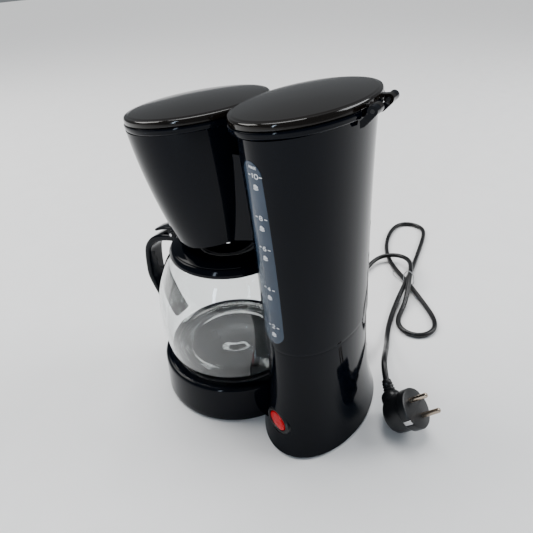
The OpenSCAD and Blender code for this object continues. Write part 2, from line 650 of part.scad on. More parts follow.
plug_pos = [-3, 172.1, 31];
plug_turn = 2;
plug_tilt = 45;
plug_exit = 50; // turn of the lead's exit round the plug, from its side upwards
exit_len = 34;
exit_y = -24;
module on_plug() translate(plug_pos) rotate([0, 0, plug_turn]) rotate([plug_tilt, 0, 0]) children();
pin_gap = 19;
plug_pin_r = 2.4;
module plug_body() color(black) on_plug() difference() {
    union() {
        rotate([90, 0, 0]) rotate_extrude() polygon([
            [0, 0], [plug_r - 1, 0], [plug_r, 1], [plug_r, 9], [plug_r - 1.6, 11], [plug_r - 1.6, 26],
            [14, 29.5], [10, 32], [0, 32]]);
        translate([0, exit_y, 0]) rotate([0, plug_exit, 0]) rotate([0, -90, 0])
            rotate_extrude($fn = 48)
            polygon([[0, 0], [10.5, 0], [10, 18], [8.6, 21], [5.6, 23.5], [4.6, exit_len], [0, exit_len]]);
    }
    for (s = [-1, 1]) {
        translate([0, 1, s * pin_gap / 2]) rotate([90, 0, 0])
            cylinder(r = 2.02, h = 10, $fn = 32);
        // grooves for the earth clips
        translate([s * (plug_r + 0.5) - 2.5, -9, -3]) cube([5, 10, 6]);
    }
}
module plug_pins() color(steel) on_plug() for (s = [-1, 1]) translate([0, 0, s * pin_gap / 2])
    rotate([-90, 0, 0]) rotate_extrude($fn = 32) polygon([
        [0, -8.9], [2, -8.9], [2, 0], [plug_pin_r, 0], [plug_pin_r, 17.5],
        [plug_pin_r - 0.9, 19], [0, 19]]);
module plug_earth_clips() color(steel) on_plug() for (s = [-1, 1])
    translate([s * (plug_r - 1.3) - 0.7, -8.9, -2.4]) cube([1.4, 8.4, 4.8]);

lower_housing();
bottom_cover();
rubber_feet();
base_screws();
warming_plate();
plate_seal();
heater_tube();
heater_clamps();
thermostat();
thermal_fuse();
terminal_block();
switch_bezel();
switch_body();
rocker_switch();
tank_body();
brew_head();
valve_sleeve();
neck_block();
top_rim();
sight_window();
gauge_marks();
tank_strainer();
inlet_hose();
check_valve();
riser_pipe();
outlet_hose();
spray_spout();
spray_head();
filter_basket();
drip_stop_valve();
valve_spring();
lid();
lid_hinge_pins();
carafe_glass();
carafe_collar();
carafe_handle();
handle_screw();
carafe_lid();
carafe_lid_pin();
cord_strain_relief();
mains_cord();
cord_tie();
plug_body();
plug_pins();
plug_earth_clips();
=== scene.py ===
import bmesh, bpy, math
from mathutils import Matrix, Vector


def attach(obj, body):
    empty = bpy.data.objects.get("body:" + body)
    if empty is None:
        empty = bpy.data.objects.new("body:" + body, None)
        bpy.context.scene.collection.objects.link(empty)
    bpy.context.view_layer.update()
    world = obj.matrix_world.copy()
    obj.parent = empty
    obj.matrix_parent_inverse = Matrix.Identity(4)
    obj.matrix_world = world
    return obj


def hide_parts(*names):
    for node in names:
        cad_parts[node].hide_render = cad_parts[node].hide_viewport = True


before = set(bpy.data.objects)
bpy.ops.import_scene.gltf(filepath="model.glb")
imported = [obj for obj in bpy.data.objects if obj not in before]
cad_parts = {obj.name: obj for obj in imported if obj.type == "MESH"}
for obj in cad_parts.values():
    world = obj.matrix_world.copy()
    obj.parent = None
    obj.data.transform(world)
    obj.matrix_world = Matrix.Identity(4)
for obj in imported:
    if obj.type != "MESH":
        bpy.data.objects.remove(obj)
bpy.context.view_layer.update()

# ---------------------------------------------------------------- camera
RIGHT = Vector((-0.505, 0.863, 0.0)).normalized()
BACK = Vector((0.7317, 0.4276, 0.5308)).normalized()
UP = BACK.cross(RIGHT)
ROLL = math.radians(-2.53)
cam_data = bpy.data.cameras.new("camera")
cam_data.sensor_width = 36
cam_data.lens = 33.77
cam_data.clip_start = 0.01
cam = bpy.data.objects.new("camera", cam_data)
bpy.context.scene.collection.objects.link(cam)
cx = math.cos(ROLL) * RIGHT + math.sin(ROLL) * UP
cy = -math.sin(ROLL) * RIGHT + math.cos(ROLL) * UP
STAND = Matrix.Translation((0.34407, 0.21886, 0.39677))
cam.matrix_world = STAND @ Matrix((cx, cy, BACK)).transposed().to_4x4()
bpy.context.scene.camera = cam


# ---------------------------------------------------------------- materials
def material(name, color, rough, metal=0.0, spread=0.3, bump=0.05, grain=700.0, wave=0.0,
             tone=0.12, glass=0.0, ior=1.5, coat=0.0, shine=0.5):
    m = bpy.data.materials.new(name)
    m.use_nodes = True
    nt = m.node_tree
    p = nt.nodes["Principled BSDF"]
    p.inputs["Metallic"].default_value = metal
    p.inputs["Transmission Weight"].default_value = glass
    p.inputs["IOR"].default_value = ior
    p.inputs["Coat Weight"].default_value = coat
    p.inputs["Coat Roughness"].default_value = 0.05
    p.inputs["Specular IOR Level"].default_value = shine
    tc = nt.nodes.new("ShaderNodeTexCoord")

    def noise(scale, detail=3.0):
        n = nt.nodes.new("ShaderNodeTexNoise")
        n.inputs["Scale"].default_value = scale
        n.inputs["Detail"].default_value = detail
        nt.links.new(tc.outputs["Object"], n.inputs["Vector"])
        return n.outputs["Fac"]

    def spanned(source, low, high):
        r = nt.nodes.new("ShaderNodeMapRange")
        r.inputs["From Min"].default_value = 0.3
        r.inputs["From Max"].default_value = 0.7
        r.inputs["To Min"].default_value = low
        r.inputs["To Max"].default_value = high
        nt.links.new(source, r.inputs["Value"])
        return r.outputs["Result"]

    nt.links.new(spanned(noise(38.0, 5.0), rough * (1 - spread), rough * (1 + spread)),
                 p.inputs["Roughness"])
    mix = nt.nodes.new("ShaderNodeMix")
    mix.data_type = "RGBA"
    mix.inputs[6].default_value = (*[c * (1 - tone) for c in color], 1)
    mix.inputs[7].default_value = (*[min(1, c * (1 + tone)) for c in color], 1)
    nt.links.new(spanned(noise(22.0, 4.0), 0, 1), mix.inputs[0])
    nt.links.new(mix.outputs[2], p.inputs["Base Color"])
    b = nt.nodes.new("ShaderNodeBump")
    b.inputs["Strength"].default_value = bump
    b.inputs["Distance"].default_value = 0.0004
    nt.links.new(noise(grain), b.inputs["Height"])
    if wave:
        w = nt.nodes.new("ShaderNodeBump")
        w.inputs["Strength"].default_value = wave
        w.inputs["Distance"].default_value = 0.002
        nt.links.new(noise(16.0, 1.0), w.inputs["Height"])
        nt.links.new(w.outputs["Normal"], b.inputs["Normal"])
    nt.links.new(b.outputs["Normal"], p.inputs["Normal"])
    return m


GLOSS = material("black_gloss", (0.0010, 0.0019, 0.0042), 0.07, bump=0.015, wave=0.07, shine=0.11)
# The lid's black carries a warm brown tint that is painted reflection: it stands in for brown surroundings
# mirrored in the glossy lid top, and the plastic is the body's black.
LID_GLOSS_BROWN_REFLECTION = material("lid_gloss_painted_reflection", (0.0045, 0.0032, 0.0022), 0.09, bump=0.03, wave=0.14, shine=0.36)
MATTE = material("black_matte", (0.007, 0.0075, 0.0085), 0.38, bump=0.2, grain=1500, shine=0.35)
CORD_BLACK = material("cord_black", (0.005, 0.005, 0.006), 0.33, bump=0.12, grain=1200, shine=0.35)
PLATE = material("plate_black", (0.006, 0.005, 0.006), 0.22, bump=0.15, grain=1800, shine=0.2)
RUBBER = material("rubber_black", (0.018, 0.018, 0.018), 0.7, bump=0.3, grain=1200)
STEEL = material("steel", (0.55, 0.55, 0.57), 0.28, metal=1, bump=0.12, grain=900)
ALUMINIUM = material("aluminium", (0.75, 0.75, 0.77), 0.35, metal=1, bump=0.15)
SILICONE = material("silicone", (0.72, 0.72, 0.69), 0.45, bump=0.1, glass=0.15)
WHITE = material("white_plastic", (0.80, 0.80, 0.77), 0.4, bump=0.12)
WINDOW = material("window", (0.030, 0.052, 0.085), 0.16, bump=0.08, wave=0.03, glass=0.15, tone=0.2,
                  shine=0.3)
MARKS = material("marks", (0.78, 0.80, 0.83), 0.45, bump=0.1)
RED = material("red_clear", (0.62, 0.002, 0.010), 0.2, bump=0.7, grain=420, wave=0.25, shine=0.25,
               tone=0.35)
GLASS = material("glass", (0.955, 0.975, 0.975), 0.004, bump=0.004, wave=0.015, tone=0.01, glass=1.0,
                 ior=1.49)
PIN = material("pin_metal", (0.46, 0.38, 0.30), 0.3, metal=1, bump=0.15, tone=0.25)
CLIP = material("clip_metal", (0.55, 0.55, 0.56), 0.25, metal=1, bump=0.1)
TIE = material("tie_clear", (0.62, 0.64, 0.66), 0.25, bump=0.05, glass=0.35)

FINISH = {
    "black_gloss": GLOSS, "black_matte": MATTE, "plate_black": PLATE, "rubber_black": RUBBER,
    "steel": STEEL, "aluminium": ALUMINIUM, "silicone": SILICONE, "white_plastic": WHITE,
    "window": WINDOW, "marks": MARKS, "red_clear": RED, "glass": GLASS, "pin_metal": PIN,
    "clip_metal": CLIP,
}


# ---------------------------------------------------------------- mesh helpers (millimetres)
def solid(name, verts, faces, matrix=None):
    me = bpy.data.meshes.new(name)
    me.from_pydata([tuple(v) for v in verts], [], faces)
    if matrix is not None:
        me.transform(matrix)
    bm = bmesh.new()
    bm.from_mesh(me)
    bmesh.ops.remove_doubles(bm, verts=bm.verts, dist=1e-4)
    bmesh.ops.dissolve_degenerate(bm, edges=bm.edges, dist=1e-5)
    bmesh.ops.recalc_face_normals(bm, faces=bm.faces)
    bm.to_mesh(me)
    bm.free()
    o = bpy.data.objects.new(name, me)
    bpy.context.scene.collection.objects.link(o)
    return o


def rings(loop, closed=False, caps=True):
    """Faces for a list of rings of equal length, each a list of points."""
    n = len(loop[0])
    faces = []
    pairs = len(loop) if closed else len(loop) - 1
    for i in range(pairs):
        a, b = i * n, ((i + 1) % len(loop)) * n
        for k in range(n):
            j = (k + 1) % n
            faces.append((a + k, a + j, b + j, b + k))
    if caps and not closed:
        faces.append(tuple(range(n)))
        faces.append(tuple(range((len(loop) - 1) * n, len(loop) * n)))
    return [p for ring in loop for p in ring], faces


def spin(profile, n=192, place=None, closed=False):
    place = place or (lambda r, z, c, s: (r * c, r * s, z))
    loop = []
    for r, z in profile:
        loop.append([place(r, z, math.cos(2 * math.pi * k / n),
                           math.sin(2 * math.pi * k / n)) for k in range(n)])
    return rings(loop, closed, caps=False)


def carve(o, other, op="DIFFERENCE"):
    m = o.modifiers.new("cut", "BOOLEAN")
    m.operation = op
    m.object = other
    m.solver = "EXACT"
    dg = bpy.context.evaluated_depsgraph_get()
    me = bpy.data.meshes.new_from_object(o.evaluated_get(dg))
    o.modifiers.clear()
    o.data = me
    bpy.data.objects.remove(other)
    return o


def crm(p, n):
    """Catmull-Rom curve through points."""
    at = lambda i: Vector(p[max(0, min(len(p) - 1, i))])
    out = []
    for i in range(len(p) - 1):
        a, b, c, d = at(i - 1), at(i), at(i + 1), at(i + 2)
        for k in range(n):
            t = k / n
            out.append(0.5 * (2 * b + (c - a) * t + (2 * a - 5 * b + 4 * c - d) * t * t
                              + (3 * b - a - 3 * c + d) * t ** 3))
    out.append(Vector(p[-1]))
    return out


def sweep(points, radius, sides=20, close=True):
    """Round tube with radius(t) along points; t goes from 0 to 1."""
    loop = []
    last = len(points) - 1
    side = None
    for i, c in enumerate(points):
        t = (points[min(i + 1, last)] - points[max(i - 1, 0)]).normalized()
        if side is None:
            side = t.orthogonal().normalized()
        side = (side - t * side.dot(t)).normalized()
        up = t.cross(side)
        r = radius(i / last)
        loop.append([c + r * (math.cos(2 * math.pi * k / sides) * side
                              + math.sin(2 * math.pi * k / sides) * up) for k in range(sides)])
    return rings(loop, caps=close)


def block(a, b, matrix=None):
    v = [(x, y, z) for z in (a[2], b[2]) for y in (a[1], b[1]) for x in (a[0], b[0])]
    f = [(0, 2, 3, 1), (4, 5, 7, 6), (0, 1, 5, 4), (2, 6, 7, 3), (0, 4, 6, 2), (1, 3, 7, 5)]
    return solid("block", v, f, matrix)


def drum(r, z0, z1, at=(0, 0), n=192, matrix=None, r1=None):
    r1 = r if r1 is None else r1
    v, f = spin([(0, z0), (r, z0), (r1, z1), (0, z1)], n)
    return solid("drum", [(x + at[0], y + at[1], z) for x, y, z in v], f, matrix)


def prism(outline, z0, z1, matrix=None):
    v, f = rings([[(x, y, z) for x, y in outline] for z in (z0, z1)])
    return solid("prism", v, f, matrix)


def shade(o, degrees=32):
    bm = bmesh.new()
    bm.from_mesh(o.data)
    limit = math.radians(degrees)
    for f in bm.faces:
        f.smooth = True
    for e in bm.edges:
        e.smooth = len(e.link_faces) != 2 or e.calc_face_angle(0.0) < limit
    bm.to_mesh(o.data)
    bm.free()


def round_edges(o, width, degrees=40, segments=3):
    m = o.modifiers.new("round", "BEVEL")
    m.width = width
    m.segments = segments
    m.limit_method = "ANGLE"
    m.angle_limit = math.radians(degrees)
    m.harden_normals = False
    dg = bpy.context.evaluated_depsgraph_get()
    me = bpy.data.meshes.new_from_object(o.evaluated_get(dg))
    o.modifiers.clear()
    o.data = me
    return o


def piece(o, name, mat, body, nodes=(), degrees=32):
    """Names a finished mesh, gives its material, scales it to metres and hangs it on its body."""
    o.name = name
    o.data.name = name
    o.data.transform(Matrix.Scale(0.001, 4))
    shade(o, degrees)
    o.data.materials.clear()
    o.data.materials.append(mat)
    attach(o, body)
    if nodes:
        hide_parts(*nodes)
    return o


def Rx(d): return Matrix.Rotation(math.radians(d), 4, "X")
def Ry(d): return Matrix.Rotation(math.radians(d), 4, "Y")
def Rz(d): return Matrix.Rotation(math.radians(d), 4, "Z")
def T(x, y, z): return Matrix.Translation((x, y, z))


# ---------------------------------------------------------------- mains lead first
LOW = 3.3
ROUTE = [
    (-105, 79.8, 8.6), (-121, 68.6, 5), (-145, 56.4, LOW), (-190, 42.6, LOW), (-236, 36, LOW),
    (-268, 38, 6), (-289, 46, 9),
    (-298, 66, 12), (-289, 86, 15), (-268, 96, 17.6), (-240, 101.5, 17.6), (-212, 107, 11),
    (-188, 110, 4.5), (-166, 109, LOW), (-147, 115, LOW), (-138, 131, LOW), (-144, 148, LOW),
    (-162, 156, LOW), (-184, 149, LOW), (-211, 127, 3.6), (-240, 103, 4.9), (-264, 80, 4.2),
    (-294, 57, LOW), (-330, 41, LOW), (-368, 34, LOW), (-396, 34, LOW), (-414, 41, LOW),
    (-421, 58, LOW), (-413, 76, LOW), (-392, 85, LOW), (-325, 91, LOW), (-280, 95.5, 5),
    (-240, 98.5, 11.3), (-205, 98, 5), (-165, 100.5, LOW), (-131, 106, LOW), (-104, 113.5, 10),
    (-76, 120, 26), (-53, 125, 36.5), (-37, 128.5, 39.5), (-23.6, 136, 32.4),
]
line = crm([Vector(p) for p in ROUTE], 8)
for _ in range(30):
    line = [line[0], line[1]] + [(line[i - 1] + line[i + 1]) / 2 * 0.5 + line[i] * 0.5
                                 for i in range(2, len(line) - 2)] + [line[-2], line[-1]]
cord_curve = bpy.data.curves.new("mains_lead", "CURVE")
cord_curve.dimensions = "3D"
cord_curve.bevel_depth = 0.0031
cord_curve.bevel_resolution = 5
cord_curve.use_fill_caps = True
sp = cord_curve.splines.new("POLY")
sp.points.add(len(line) - 1)
for i, p in enumerate(line):
    sp.points[i].co = (p.x / 1000, p.y / 1000, p.z / 1000, 1)
sp.use_smooth = True
lead = bpy.data.objects.new("mains_lead", cord_curve)
bpy.context.scene.collection.objects.link(lead)
cord_curve.materials.append(CORD_BLACK)
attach(lead, "machine")
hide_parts("mains_cord")

boot_line = crm([(-70, 92.5, 13), (-78, 92.8, 13), (-85.6, 91.4, 12.6), (-92.4, 88.4, 11.6),
                 (-98.8, 84.4, 10.2), (-105, 79.8, 8.6)], 12)


RIB_DEPTH, RIB_COUNT = 0.35, 7


def boot_radius(t):
    """Tapered, with ribs along its middle; t goes from 0 to 1."""
    base = 4.95 - 1.3 * t
    if not 0.2 < t < 0.93:
        return base
    return base - (RIB_DEPTH - RIB_DEPTH * (0.5 + 0.5 * math.cos(2 * math.pi * t * RIB_COUNT)))


boot = solid("boot", *sweep(boot_line, boot_radius, 32))
piece(boot, "strain_relief", CORD_BLACK, "machine", ["cord_strain_relief"], 50)

TIE_LINE = crm([
    (-243, 93.5, 6), (-243, 93, 12), (-243, 93.5, 18), (-243, 97, 22.8), (-243, 102, 22.8),
    (-243, 105.8, 18), (-243.5, 106.4, 12), (-246, 106.8, 6), (-247.5, 105, 1.4),
    (-247.5, 98, 0.7), (-247.5, 91, 1.2), (-253, 82, 2), (-262, 74, 1.2), (-272, 70, 0.9)], 8)
tie = solid("tie", *sweep(TIE_LINE, lambda t: 0.55, 12))
piece(tie, "lead_tie", TIE, "machine", ["cord_tie"])

# ---- plug
PLUG = T(-3, 172.1, 31) @ Rz(2) @ Rx(45)
FACE_R = 19.5
v, f = spin([(0, 0), (FACE_R - 1.6, 0), (FACE_R - 0.5, -0.4), (FACE_R, -1.4), (FACE_R, -8.4),
             (FACE_R - 0.5, -9.4), (FACE_R - 1.9, -10.4), (FACE_R - 1.8, -11.5), (FACE_R - 1.7, -18),
             (FACE_R - 2.0, -25.2), (FACE_R - 3.4, -27.8), (13.6, -29.8), (10.2, -31.6), (8, -32),
             (0, -32)],
            96, lambda r, z, c, s: (r * c, z, r * s))
plug = solid("plug", v, f, PLUG)
NECK = PLUG @ T(0, -24, 0) @ Ry(50) @ Ry(-90)
v, f = spin([(0, 0), (10.4, 0), (10.1, 14.5), (9.8, 18), (8.6, 20.6), (6.6, 22.4), (5.4, 23.4), (5.9, 24),
             (5.9, 25), (5.1, 25.4), (5.1, 26.4), (5.6, 26.8), (5.6, 27.8), (4.9, 28.2), (4.9, 29.2),
             (5.2, 29.6), (5.2, 30.6), (4.7, 31), (4.6, 33.4), (4.2, 34), (0, 34)], 64)
carve(plug, solid("neck", v, f, NECK), "UNION")
for s in (-1, 1):
    carve(plug, block((s * 20 - 2.6, -9, -3), (s * 20 + 2.4, 1, 3), PLUG))
piece(plug, "plug_moulding", MATTE, "machine", ["plug_body"], 38)
PIN_GAP, PIN_R = 9.5, 2.4


def contact_pin(side):
    v, f = spin([(0, -4), (PIN_R - 0.05, -4), (PIN_R, 0), (PIN_R, 17), (PIN_R - 0.2, 18.1), (1.6, 18.8),
                 (0.8, 19), (0, 19)], 48)
    return solid("pin", v, f, PLUG @ T(0, 0, side * PIN_GAP) @ Rx(-90))


pins = carve(contact_pin(-1), contact_pin(1), "UNION")
piece(pins, "plug_contact_pins", PIN, "machine", ["plug_pins"])
clips = None
for s in (-1, 1):
    b = round_edges(block((s * 18.2 - 0.7, -8.9, -2.4), (s * 18.2 + 0.7, -0.5, 2.4), PLUG), 0.4)
    clips = b if clips is None else carve(clips, b, "UNION")
piece(clips, "plug_clips", CLIP, "machine", ["plug_earth_clips"])

# ---------------------------------------------------------------- housing shapes
BASE_Z, PART_Z, FLOOR_Z = 2.0, 113.5, 113.6
FOOT_W, WAIST_W, TANK_W, TOP_W, RATIO, LEAN, COL_Y = 79.9, 66.5, 68.0, 75.8, 1.6, 0.054, 76.9
JUG_Y, BASE_R, BASE_TOP, PLATE_R = -24.0, 77.0, 42.7, 63.0
WALL = 2.5
LID_Z, SLOPE = 299.4, 6.75
FLANGE_Z = -11.5
ON_LID = T(0, 0, LID_Z) @ Rx(SLOPE)
BELOW = T(0, -66, 171) @ Rx(13)


def column_w(z):
    z = max(z, BASE_Z)
    if z < PART_Z:
        return WAIST_W + (FOOT_W - WAIST_W) * ((PART_Z - z) / (PART_Z - BASE_Z)) ** 3.4
    return TANK_W + (TOP_W - TANK_W) * ((z - PART_Z) / (300 - PART_Z)) ** 2.2


def column(z0, z1, grow=0.0, steps=44, soft=(0.0, 0.0), n=224):
    """Solid oval column from z0 to z1; soft rounds its lower and upper edge."""
    place = lambda r, z, c, s: (r * c, r / RATIO * s + COL_Y - LEAN * z, z)
    prof = [(0, z0)]
    lo, hi = soft
    if lo:
        prof += [(column_w(z0) + grow - lo * (1 - math.sin(a)), z0 + lo * (1 - math.cos(a)))
                 for a in (math.radians(d) for d in (0, 30, 60))]
    zs = [z0 + lo + (z1 - z0 - lo - hi) * i / steps for i in range(steps + 1)]
    prof += [(column_w(z) + grow, z) for z in zs]
    if hi:
        prof += [(column_w(z1) + grow - hi * (1 - math.cos(a)), z1 - hi * (1 - math.sin(a)))
                 for a in (math.radians(d) for d in (30, 60, 90))]
    prof.append((0, z1))
    return solid("column", *spin(prof, n, place))


def head_r(z):
    return 58.3 - (58.3 - 39.5) * (max(0, 290 - z) / (290 - 171)) ** 1.8


def head(z0, z1, grow=0.0, steps=56, n=224):
    place = lambda r, z, c, s: (1.1 * r * c, r * s - 0.15 * z - 28 + 0.15 * 174, z)
    zs = [z0 + (z1 - z0) * i / steps for i in range(steps + 1)]
    return solid("head", *spin([(0, z0)] + [(head_r(z) + grow, z) for z in zs] + [(0, z1)], n, place))


def below(rise=0.0):
    return block((-150, -150, -200), (150, 250, 0), T(0, 0, rise) @ BELOW)


def above(z):
    return block((-200, -300, 0), (200, 300, 200), ON_LID @ T(0, 0, z))


def bay(z0, grow=0.0):
    b = drum(77 + grow, z0, z0 + 150, (0, JUG_Y), 256)
    return carve(b, block((-150, -150, 0), (150, 250, 200), T(0, 0, grow) @ BELOW))


def oval(a, b, z0, z1, matrix, n=96):
    """Prism with half axes b across and a along, on the switch's own frame."""
    return prism([(b * math.cos(2 * math.pi * k / n), a * math.sin(2 * math.pi * k / n)) for k in range(n)],
                 z0, z1, matrix)


SLOT_TURN = -28
SLOT_ENDS = ((77.5, 270.0, 9.5), (82.6, 133.0, 12.0))  # along, up, radius: upper and lower end


def slot(grow=0.0, n=48):
    """Upright tapering slot, round at both ends, seen along its own normal."""
    (u1, z1, r1), (u0, z0, r0) = SLOT_ENDS
    r1, r0 = r1 + grow, r0 + grow
    ring = [(u1 + r1 * math.cos(math.pi * k / n),
             z1 + r1 * math.sin(math.pi * k / n)) for k in range(n + 1)]
    ring += [(u0 - r0 * math.cos(math.pi * k / n),
              z0 - r0 * math.sin(math.pi * k / n)) for k in range(n + 1)]
    v, f = rings([[(x, u, z) for u, z in ring] for x in (25, 105)])
    return solid("slot", v, f, Rz(SLOT_TURN))


SWITCH = T(66.2, 62.5, 28) @ Rz(-27) @ Ry(90 - 12.7)

# ---- lower housing
low_house = column(BASE_Z, PART_Z - 0.1, 0, 30, (1.0, 0.5))
base_loop = [(0, BASE_Z), (BASE_R - 1.2, BASE_Z), (BASE_R - 0.3, BASE_Z + 0.4), (BASE_R, BASE_Z + 1.3)]
base_loop += [(BASE_R - (z - BASE_Z) / 36.0, z) for z in (8, 16, 24, 32)]
base_loop += [(BASE_R - 1 - 4 * (1 - math.cos(math.radians(a))),
               BASE_TOP - 4 * (1 - math.sin(math.radians(a))))
              for a in range(0, 91, 9)] + [(PLATE_R + 6, BASE_TOP), (0, BASE_TOP)]
v, f = spin(base_loop, 224)
carve(low_house, solid("base", [(x, y + JUG_Y, z) for x, y, z in v], f), "UNION")
hollow = column(BASE_Z - 1, PART_Z - WALL, -WALL * 1.3, 30)
carve(hollow, drum(BASE_R - WALL, BASE_Z - 1, BASE_TOP - WALL, (0, JUG_Y), 224, r1=BASE_R - WALL - 1),
      "UNION")
carve(hollow, bay(BASE_TOP - WALL, WALL))
carve(low_house, hollow)
carve(low_house, bay(BASE_TOP))
carve(low_house, drum(PLATE_R + 2.5, BASE_TOP - 1.6, BASE_TOP + 4, (0, JUG_Y)))
carve(low_house, drum(PLATE_R - 5, BASE_TOP - 10, BASE_TOP + 10, (0, JUG_Y)))
for p in ((26, 86), (0, 64)):
    carve(low_house, drum(6, PART_Z - 8, PART_Z + 2, p, 48))
carve(low_house, oval(13.6, 8.2, -9, 11, SWITCH))
carve(low_house, oval(16.05, 10.05, -1.62, 18, SWITCH))
carve(low_house, drum(5, -14, 10, (0, 0), 48, T(-72.4, 92.8, 13) @ Rz(84) @ Rx(-90)))
piece(low_house, "foot_housing", GLOSS, "machine", ["lower_housing"], 30)

# ---- tank
HINGE = ON_LID @ T(0, 116.8, -6.5)

tank = column(FLOOR_Z, 312, 0, 70, (0.5, 0.0), 256)
carve(tank, above(FLANGE_Z))
ACROSS = Matrix(((0, 0, 1, 0), (1, 0, 0, 0), (0, 1, 0, 0), (0, 0, 0, 1)))
for x in (-21, 21):
    m = T(x, 0, 0) @ HINGE @ T(-3.25, 0, 0) @ ACROSS
    arm = prism([(-9, -11), (-6, -10), (3.0, -2.2), (0, 1.5), (-9, -6)], 0, 6.5, m)
    carve(arm, drum(3.7, 0, 6.5, (0, 0), 48, m), "UNION")
    carve(tank, arm, "UNION")
carve(tank, bay(FLOOR_Z - 1))
inside = column(FLOOR_Z + WALL, 313, -WALL * 1.3, 50)
carve(inside, bay(FLOOR_Z, WALL))
carve(tank, inside)
carve(tank, slot())
carve(tank, drum(4, FLOOR_Z - 1, FLOOR_Z + 9, (26, 86), 48))
carve(tank, drum(5.02, FLOOR_Z - 1, FLOOR_Z + 9, (0, 64), 48))
carve(tank, drum(1.52, -40, 40, (0, 0), 32, HINGE @ Ry(90)))
piece(tank, "water_tank", GLOSS, "machine", ["tank_body"], 30)

# ---- brew head
bowl = head(150, 302)
carve(bowl, below())
carve(bowl, above(FLANGE_Z))
carve(bowl, column(FLOOR_Z, 320, 0, 60))
bowl_in = head(149, 303, -WALL)
carve(bowl_in, below(WALL))
carve(bowl, bowl_in)
carve(bowl, drum(8.5, 156, 196, (0, JUG_Y), 48))
piece(bowl, "brew_bowl", GLOSS, "machine", ["brew_head"], 30)

# ---- rim below the lid: both lobes in one outline
LOBES = (((75.0, 53.0), 58.9), ((65.6, 59.6), -42.3))


def outline(grow, n=320):
    mid = 11.5

    def reach(lobe, a):
        (rx, ry), y = lobe
        rx, ry = rx + grow, ry + grow
        c, s = math.cos(a) / rx, math.sin(a) / ry
        o = (mid - y) / ry
        A, B, C = c * c + s * s, 2 * s * o, o * o - 1
        return (-B + math.sqrt(B * B - 4 * A * C)) / (2 * A)

    low, high = -0.6, 0.9
    for _ in range(50):
        m = (low + high) / 2
        if reach(LOBES[0], m) > reach(LOBES[1], m):
            high = m
        else:
            low = m
    crease = low
    angles = [crease + (math.pi - 2 * crease) * k / (n // 2) for k in range(n // 2)]
    angles += [math.pi - crease + (math.pi + 2 * crease) * k / (n // 2) for k in range(n // 2)]
    pts = []
    for a in angles:
        r = max(reach(l, a) for l in LOBES)
        pts.append((r * math.cos(a), mid + r * math.sin(a)))
    return pts


rim_loop = [(-5, 0), (-5, 5.6), (0.0, 5.6), (0.6, 5.3), (0.8, 4.7), (0.8, 3.1), (0.6, 2.5), (0.1, 2.3),
            (0.1, 1.4), (-0.5, 0.6), (-1.4, 0.1), (-2.4, 0.0)]
v, f = rings([[(x, y, z) for x, y in outline(g)] for g, z in rim_loop], closed=True)
rim = solid("rim", v, f, ON_LID @ T(0, 0, FLANGE_Z))
for x in (-21, 21):
    carve(rim, block((-3.27, -9.02, -30), (3.27, 21, 30), T(x, 0, 0) @ HINGE))
piece(rim, "rim", GLOSS, "machine", ["top_rim"], 40)

# ---- lid
lid = None
for (rx, ry), y in LOBES:
    prof = [(0, -5.5), (rx - 0.4, -5.5), (rx, -5.0), (rx, -2.2), (rx - 0.25, -1.3), (rx - 0.9, -0.6),
            (rx - 1.8, -0.3), (rx - 2.8, -0.35), (rx - 3.6, -0.15), (rx - 4.6, 0.25)]
    prof += [(u * (rx - 6) / 20, 3 * (1 - (u / 20 * (rx - 6) / (rx - 2)) ** 2)) for u in range(20, -1, -1)]
    v, f = spin(prof, 256, lambda r, z, c, s, k=ry / rx, y=y: (r * c, r * s * k + y, z))
    one = solid("lobe", v, f, ON_LID)
    lid = one if lid is None else carve(lid, one, "UNION")
inner = prism(outline(-2.2), -6.5, -2.2, ON_LID)
carve(lid, inner)
for s in (-1, 1):
    m = T(s * (21 - 6.5 - 0.4), 0, 0) @ HINGE @ T(-3.25, 0, 0)
    ear = drum(3.7, 0, 6.5, (0, 0), 48, m @ Ry(90))
    carve(ear, round_edges(block((0, -7.5, 1.2), (6.5, 0.5, 3.7), m), 0.4), "UNION")
    carve(lid, ear, "UNION")
carve(lid, drum(1.58, -40, 40, (0, 0), 32, HINGE @ Ry(90)))
piece(lid, "machine_lid", LID_GLOSS_BROWN_REFLECTION, "lid_body", ["lid"], 30)

# ---- sight window and its printing
pane = column(FLOOR_Z, 312, 0.3, 90, n=384)
carve(pane, column(FLOOR_Z - 1, 313, -WALL, 90, n=384))
carve(pane, slot(-0.02), "INTERSECT")
round_edges(pane, 0.35, 50, 2)
piece(pane, "window_pane", WINDOW, "machine", ["sight_window"], 30)

TURN = math.radians(-SLOT_TURN)
NORMAL = Vector((math.cos(TURN), -math.sin(TURN), 0))
ALONG = Vector((math.sin(TURN), math.cos(TURN), 0))


def on_window(u, z, lift):
    """Point on the window's outer face at u along and z up, lifted outwards."""
    low, high = 20.0, 100.0
    for _ in range(40):
        m = (low + high) / 2
        p = NORMAL * m + ALONG * u
        w = column_w(z) + 0.3
        if (p.x / w) ** 2 + ((p.y - COL_Y + LEAN * z) * RATIO / w) ** 2 < 1:
            low = m
        else:
            high = m
    return NORMAL * (low + lift) + ALONG * u + Vector((0, 0, z))


